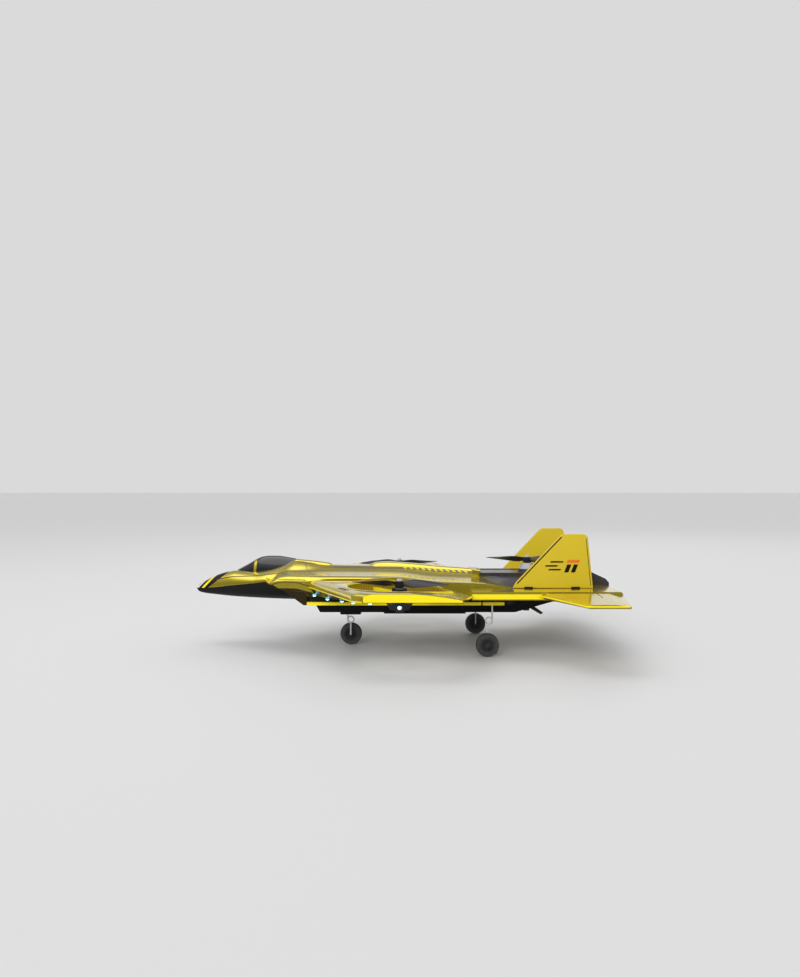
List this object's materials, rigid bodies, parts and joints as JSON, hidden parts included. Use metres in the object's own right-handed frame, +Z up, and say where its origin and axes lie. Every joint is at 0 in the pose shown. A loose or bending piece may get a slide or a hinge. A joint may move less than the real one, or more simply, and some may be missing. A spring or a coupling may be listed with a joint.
{
  "type": "rc jet plane",
  "caption": "Radio-controlled model jet with ducted wing rotors, a tail lifting rotor, twin fins, cockpit canopy, under-wing lamps and sprung wire landing gear.",
  "frame": {"origin": "on the ground under the middle of the plane's bounding box", "axes": "-Y to the nose, +X to the port wing tip, +Z up"},
  "size_m": [0.34, 0.4, 0.11],
  "materials": {
    "battery_wrap": "shrink wrap",
    "black": "satin",
    "board_green": "lacquered",
    "dark_grey": "satin",
    "edge_yellow": "gloss",
    "fin_yellow": "satin",
    "foam_tyre": "matt foam",
    "hub_grey": "satin",
    "lamp": "clear",
    "light_grey": "satin",
    "motor_metal": "machined",
    "rotor_plastic": "gloss",
    "shell_yellow": "gloss",
    "silver": "polished",
    "smoke_glass": "polished",
    "steel_wire": "drawn"
  },
  "bodies": {
    "airframe": {"battery": "battery_wrap", "belly_pan": "black", "canopy": "smoke_glass", "canopy_bow": "shell_yellow", "canopy_fairing": "shell_yellow", "circuit_board": "board_green", "dorsal_cover": "shell_yellow", "engine_cover": "dark_grey", "exhaust": "dark_grey", "fin_clips": "black", "left_fin": "fin_yellow", "left_gear_leg": "steel_wire", "left_gear_plate": "edge_yellow", "left_intake": "black", "left_lamp_pod": "dark_grey", "left_lamps": "lamp", "left_motor": "motor_metal", "left_motor_frame": "edge_yellow", "left_rail": "edge_yellow", "left_stabiliser": "shell_yellow", "left_wing": "shell_yellow", "lower_nose": "black", "nose_collar": "shell_yellow", "nose_gaskets": "black", "nose_gear_block": "dark_grey", "nose_gear_leg": "steel_wire", "nose_tip": "silver", "rear_deck": "shell_yellow", "rear_motor": "light_grey", "rear_motor_mount": "dark_grey", "right_fin": "fin_yellow", "right_gear_leg": "steel_wire", "right_gear_plate": "edge_yellow", "right_intake": "black", "right_lamp_pod": "dark_grey", "right_lamps": "lamp", "right_motor": "motor_metal", "right_motor_frame": "edge_yellow", "right_rail": "edge_yellow", "right_stabiliser": "shell_yellow", "right_wing": "shell_yellow", "tail_skid": "dark_grey", "tray": "black", "upper_shell": "shell_yellow", "windshield": "smoke_glass"},
    "left_rotor_body": {"left_rotor": "rotor_plastic", "left_shaft": "steel_wire"},
    "right_rotor_body": {"right_rotor": "rotor_plastic", "right_shaft": "steel_wire"},
    "rear_rotor_body": {"rear_rotor": "rotor_plastic", "rear_shaft": "steel_wire"},
    "left_wheel": {"left_wheel_hub": "hub_grey", "left_tyre": "foam_tyre"},
    "right_wheel": {"right_wheel_hub": "hub_grey", "right_tyre": "foam_tyre"},
    "nose_wheel": {"nose_wheel_hub": "hub_grey", "nose_tyre": "foam_tyre"},
    "hatch": {"battery_cover": "black"},
    "switch": {"power_switch": "black"}
  },
  "joints": [
    {"name": "left_rotor_spin", "type": "hinge", "parent": "airframe", "child": "left_rotor_body", "pos_m": [0.11, -0.003, 0.0705], "axis": [0, 0, 1], "continuous": true},
    {"name": "right_rotor_spin", "type": "hinge", "parent": "airframe", "child": "right_rotor_body", "pos_m": [-0.11, -0.003, 0.0705], "axis": [0, 0, 1], "continuous": true},
    {"name": "rear_rotor_spin", "type": "hinge", "parent": "airframe", "child": "rear_rotor_body", "pos_m": [0, 0.121, 0.0826], "axis": [0, 0, 1], "continuous": true},
    {"name": "left_wheel_roll", "type": "hinge", "parent": "airframe", "child": "left_wheel", "pos_m": [0.065, 0.076, 0.0105], "axis": [1, 0, 0], "continuous": true},
    {"name": "right_wheel_roll", "type": "hinge", "parent": "airframe", "child": "right_wheel", "pos_m": [-0.065, 0.076, 0.0105], "axis": [1, 0, 0], "continuous": true},
    {"name": "nose_wheel_roll", "type": "hinge", "parent": "airframe", "child": "nose_wheel", "pos_m": [0, -0.05, 0.0105], "axis": [1, 0, 0], "continuous": true},
    {"name": "hatch_slide", "type": "slide", "parent": "airframe", "child": "hatch", "axis": [0, 1, 0], "range_m": [0, 0.018]},
    {"name": "switch_slide", "type": "slide", "parent": "airframe", "child": "switch", "axis": [0, 1, 0], "range_m": [0, 0.0035]}
  ]
}
